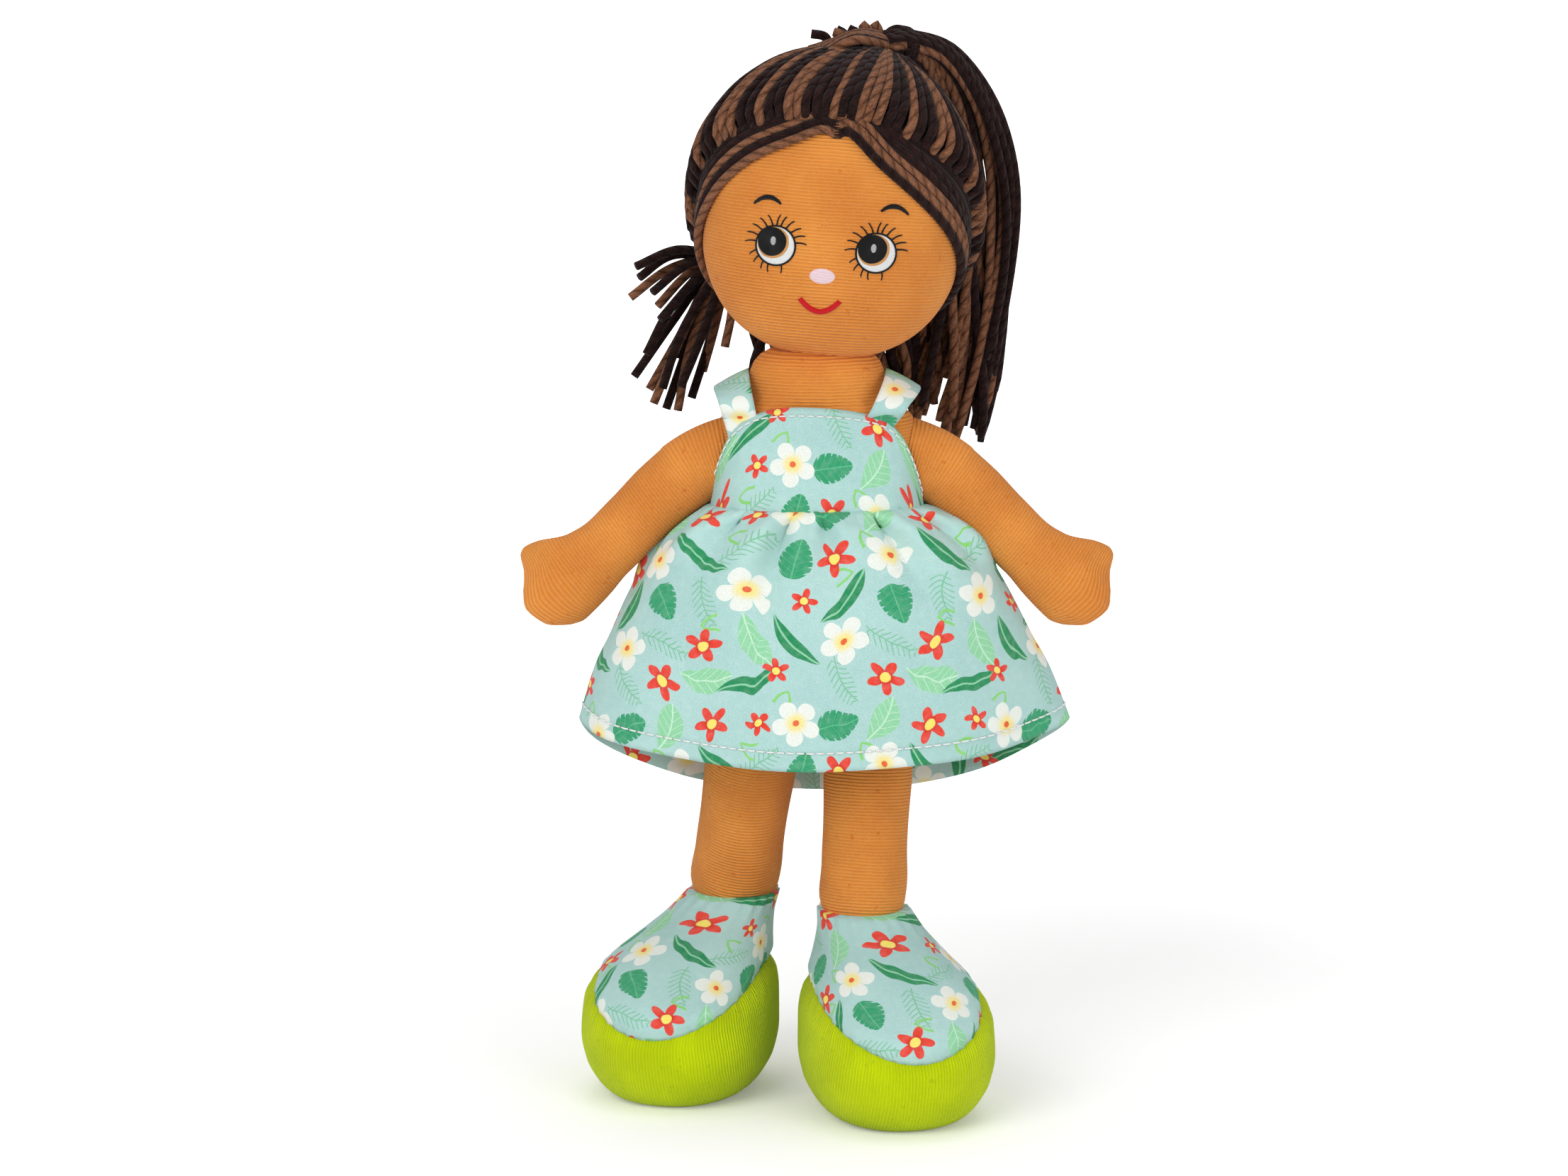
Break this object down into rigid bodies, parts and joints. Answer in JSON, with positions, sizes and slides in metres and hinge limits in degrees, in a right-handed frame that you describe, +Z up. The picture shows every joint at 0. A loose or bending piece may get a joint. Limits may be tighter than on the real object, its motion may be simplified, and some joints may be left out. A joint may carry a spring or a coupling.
{
  "type": "rag doll",
  "caption": "Stuffed cloth doll with yarn hair, in a pinafore dress and soft shoes; head, arms, legs and feet turn at sewn joints.",
  "frame": {"origin": "on the floor, under the middle of the standing doll", "axes": "+Z up, the doll faces -Y, +X is its left"},
  "size_m": [0.1846, 0.115, 0.3518],
  "materials": {
    "skin_knit": "brushed ribbed knit, matt",
    "stuffing": "loose polyester fibre",
    "printed_cotton": "plain-weave cotton with a floral print, matt",
    "sole_knit": "ribbed knit, matt",
    "dark_yarn": "plied wool-like yarn, slightly fuzzy",
    "brown_yarn": "plied wool-like yarn, slightly fuzzy",
    "white_thread": "satin stitch, soft sheen",
    "black_thread": "satin stitch, soft sheen",
    "red_thread": "satin stitch, soft sheen",
    "pink_thread": "satin stitch, soft sheen",
    "fastener_strip": "hook and loop tape, matt"
  },
  "bodies": {
    "torso": {"torso_cover": "skin_knit", "torso_stuffing": "stuffing", "dress_bodice": "printed_cotton", "dress_skirt": "printed_cotton", "right_strap": "printed_cotton", "left_strap": "printed_cotton", "closure_loop_strip": "fastener_strip", "closure_hook_strip": "fastener_strip", "back_placket": "printed_cotton"},
    "neck": {"neck": "skin_knit"},
    "head": {"head_cover": "skin_knit", "head_stuffing": "stuffing", "right_eye_white": "white_thread", "right_pupil": "black_thread", "right_eye_glint": "white_thread", "right_brow": "black_thread", "left_eye_white": "white_thread", "left_pupil": "black_thread", "left_eye_glint": "white_thread", "left_brow": "black_thread", "nose": "pink_thread", "mouth": "red_thread", "hair_wig": "dark_yarn", "hair_fringe": "brown_yarn", "hair_tie": "dark_yarn", "ponytail": "dark_yarn", "side_lock": "brown_yarn", "back_hair": "dark_yarn", "crown_tuft_1": "brown_yarn", "crown_tuft_2": "brown_yarn", "crown_tuft_3": "brown_yarn"},
    "right_arm": {"right_arm_cover": "skin_knit", "right_arm_stuffing": "stuffing"},
    "right_leg": {"right_leg_cover": "skin_knit", "right_leg_stuffing": "stuffing"},
    "right_foot": {"right_shoe_sole": "sole_knit", "right_shoe_upper": "printed_cotton", "right_foot_stuffing": "stuffing"},
    "left_arm": {"left_arm_cover": "skin_knit", "left_arm_stuffing": "stuffing"},
    "left_leg": {"left_leg_cover": "skin_knit", "left_leg_stuffing": "stuffing"},
    "left_foot": {"left_shoe_sole": "sole_knit", "left_shoe_upper": "printed_cotton", "left_foot_stuffing": "stuffing"}
  },
  "joints": [
    {"name": "head_turn", "type": "hinge", "parent": "torso", "child": "neck", "pos_m": [0, 0.00842, 0.2283], "axis": [0, 0, 1], "range_deg": [-40, 40], "stiffness_Nm_per_rad": 0.15},
    {"name": "head_nod", "type": "hinge", "parent": "neck", "child": "head", "pos_m": [0, 0.00842, 0.233], "axis": [1, 0, 0], "range_deg": [-20, 20], "stiffness_Nm_per_rad": 0.5, "deforming": ["ponytail", "side_lock", "back_hair"]},
    {"name": "right_arm_raise", "type": "hinge", "parent": "torso", "child": "right_arm", "pos_m": [-0.04269, 0.00842, 0.205], "axis": [0, 1, 0], "range_deg": [-3, 90], "stiffness_Nm_per_rad": 0.1},
    {"name": "left_arm_raise", "type": "hinge", "parent": "torso", "child": "left_arm", "pos_m": [0.04269, 0.00842, 0.205], "axis": [0, -1, 0], "range_deg": [-3, 90], "stiffness_Nm_per_rad": 0.1},
    {"name": "right_leg_swing", "type": "hinge", "parent": "torso", "child": "right_leg", "pos_m": [-0.018, 0.00842, 0.1335], "axis": [-1, 0, 0], "range_deg": [-20, 100], "stiffness_Nm_per_rad": 1, "deforming": ["dress_skirt"]},
    {"name": "left_leg_swing", "type": "hinge", "parent": "torso", "child": "left_leg", "pos_m": [0.018, 0.00842, 0.1335], "axis": [-1, 0, 0], "range_deg": [-30, 80], "stiffness_Nm_per_rad": 1},
    {"name": "right_foot_flex", "type": "hinge", "parent": "right_leg", "child": "right_foot", "pos_m": [-0.027, 0.02742, 0.07132], "axis": [-0.9563, 0.2924, 0], "range_deg": [-15, 18], "stiffness_Nm_per_rad": 0.8},
    {"name": "left_foot_flex", "type": "hinge", "parent": "left_leg", "child": "left_foot", "pos_m": [0.015, 0.00142, 0.07132], "axis": [-0.9781, -0.2079, 0], "range_deg": [-15, 18], "stiffness_Nm_per_rad": 0.8}
  ]
}
